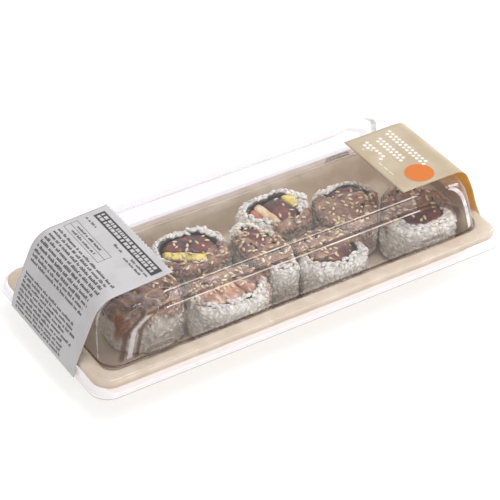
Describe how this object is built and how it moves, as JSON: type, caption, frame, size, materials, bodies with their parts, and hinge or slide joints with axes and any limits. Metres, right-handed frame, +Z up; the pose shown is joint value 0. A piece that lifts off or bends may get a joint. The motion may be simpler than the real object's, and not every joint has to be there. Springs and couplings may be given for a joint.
{
  "type": "takeaway sushi tray",
  "caption": "Rectangular takeaway pack: filled rice rolls with sesame and brown glaze in a moulded fibre tray under a clear domed lid.",
  "frame": {"origin": "middle of the pack's footprint, on the surface it stands on", "axes": "+X along the pack towards the kraft sticker, +Y across it, +Z up"},
  "size_m": [0.2238, 0.1028, 0.0459],
  "materials": {
    "fibre": "moulded plant fibre, matt, warm beige",
    "clear_film": "clear thermoformed plastic film, glossy",
    "label_paper": null,
    "kraft_paper": "brown kraft paper with a plain orange disc",
    "rice": "cooked short-grain rice, moist",
    "seaweed": "dark green-black dried seaweed, slightly moist",
    "chicken": "cooked chicken under dark soy glaze",
    "avocado": "ripe avocado flesh",
    "carrot": "orange-red vegetable strip"
  },
  "bodies": {
    "root": {"tray": "fibre", "lid": "clear_film", "label": "label_paper", "sticker": "kraft_paper", "rice_1": "rice", "rice_2": "rice", "rice_3": "rice", "rice_4": "rice", "rice_5": "rice", "rice_6": "rice", "rice_7": "rice", "rice_8": "rice", "seaweed_1": "seaweed", "seaweed_2": "seaweed", "seaweed_3": "seaweed", "seaweed_4": "seaweed", "seaweed_5": "seaweed", "seaweed_6": "seaweed", "seaweed_7": "seaweed", "seaweed_8": "seaweed", "chicken_1a": "chicken", "avocado_1b": "avocado", "chicken_1c": "chicken", "chicken_2a": "chicken", "chicken_2b": "chicken", "chicken_2c": "chicken", "chicken_3a": "chicken", "avocado_3b": "avocado", "chicken_3c": "chicken", "chicken_4a": "chicken", "avocado_4b": "avocado", "chicken_4c": "chicken", "carrot_5a": "carrot", "chicken_5b": "chicken", "chicken_5c": "chicken", "avocado_5d": "avocado", "chicken_6a": "chicken", "avocado_6b": "avocado", "chicken_6c": "chicken", "chicken_7a": "chicken", "avocado_7b": "avocado", "chicken_7c": "chicken", "chicken_8a": "chicken", "avocado_8b": "avocado", "chicken_8c": "chicken"}
  },
  "joints": []
}
